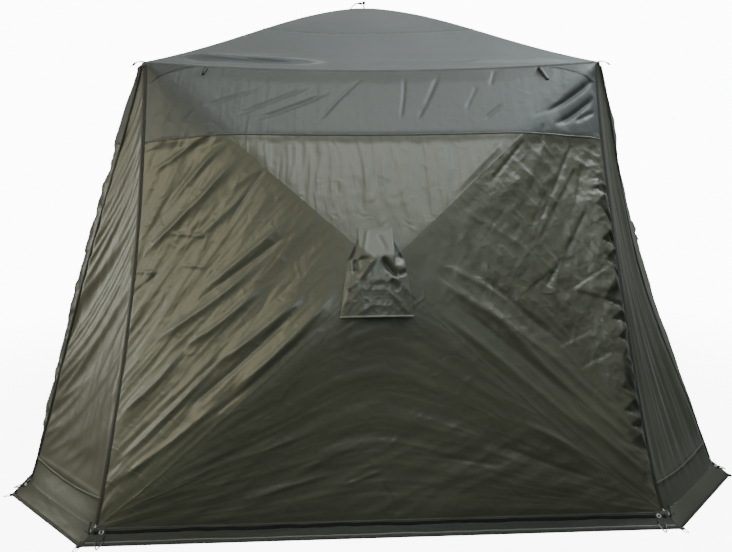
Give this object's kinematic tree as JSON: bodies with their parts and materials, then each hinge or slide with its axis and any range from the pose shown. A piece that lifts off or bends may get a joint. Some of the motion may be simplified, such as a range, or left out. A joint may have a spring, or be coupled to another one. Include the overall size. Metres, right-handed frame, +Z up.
{
  "type": "four-sided pop-up cook tent",
  "caption": "A square-topped pop-up cook tent with hub-pushed pyramid walls, corner gussets, a low pyramid roof, hub hoods, a sloping skirt and pegging tabs.",
  "frame": {"origin": "on the ground under the middle of the tent", "axes": "+Z up; -Y is the front wall; +X to the right seen from the front"},
  "size_m": [3.1692, 3.1692, 2.2467],
  "materials": {
    "wall_cloth": "coated polyester, olive green, soft sheen",
    "roof_cloth": "coated polyester, grey green, soft sheen",
    "skirt_cloth": "heavier coated polyester, dark green",
    "webbing": "woven webbing, black",
    "pole": "glass fibre rod and moulded hub, black",
    "fitting": "moulded plastic, black"
  },
  "bodies": {
    "root": {"roof_canopy": "roof_cloth", "roof_cap": "roof_cloth", "roof_frame": "pole", "roof_knob": "fitting", "roof_pull_strap": "webbing", "front_wall": "wall_cloth", "front_band": "roof_cloth", "front_skirt": "skirt_cloth", "front_hood": "wall_cloth", "front_frame": "pole", "front_tab_left": "webbing", "front_tab_right": "webbing", "front_right_gusset": "wall_cloth", "front_right_gusset_skirt": "skirt_cloth", "front_right_corner_tab": "webbing", "right_wall": "wall_cloth", "right_band": "roof_cloth", "right_skirt": "skirt_cloth", "right_hood": "wall_cloth", "right_frame": "pole", "right_tab_left": "webbing", "right_tab_right": "webbing", "back_right_gusset": "wall_cloth", "back_right_gusset_skirt": "skirt_cloth", "back_right_corner_tab": "webbing", "back_wall": "wall_cloth", "back_band": "roof_cloth", "back_skirt": "skirt_cloth", "back_hood": "wall_cloth", "back_frame": "pole", "back_tab_left": "webbing", "back_tab_right": "webbing", "back_left_gusset": "wall_cloth", "back_left_gusset_skirt": "skirt_cloth", "back_left_corner_tab": "webbing", "left_wall": "wall_cloth", "left_band": "roof_cloth", "left_skirt": "skirt_cloth", "left_hood": "wall_cloth", "left_frame": "pole", "left_tab_left": "webbing", "left_tab_right": "webbing", "front_left_gusset": "wall_cloth", "front_left_gusset_skirt": "skirt_cloth", "front_left_corner_tab": "webbing"}
  },
  "joints": []
}
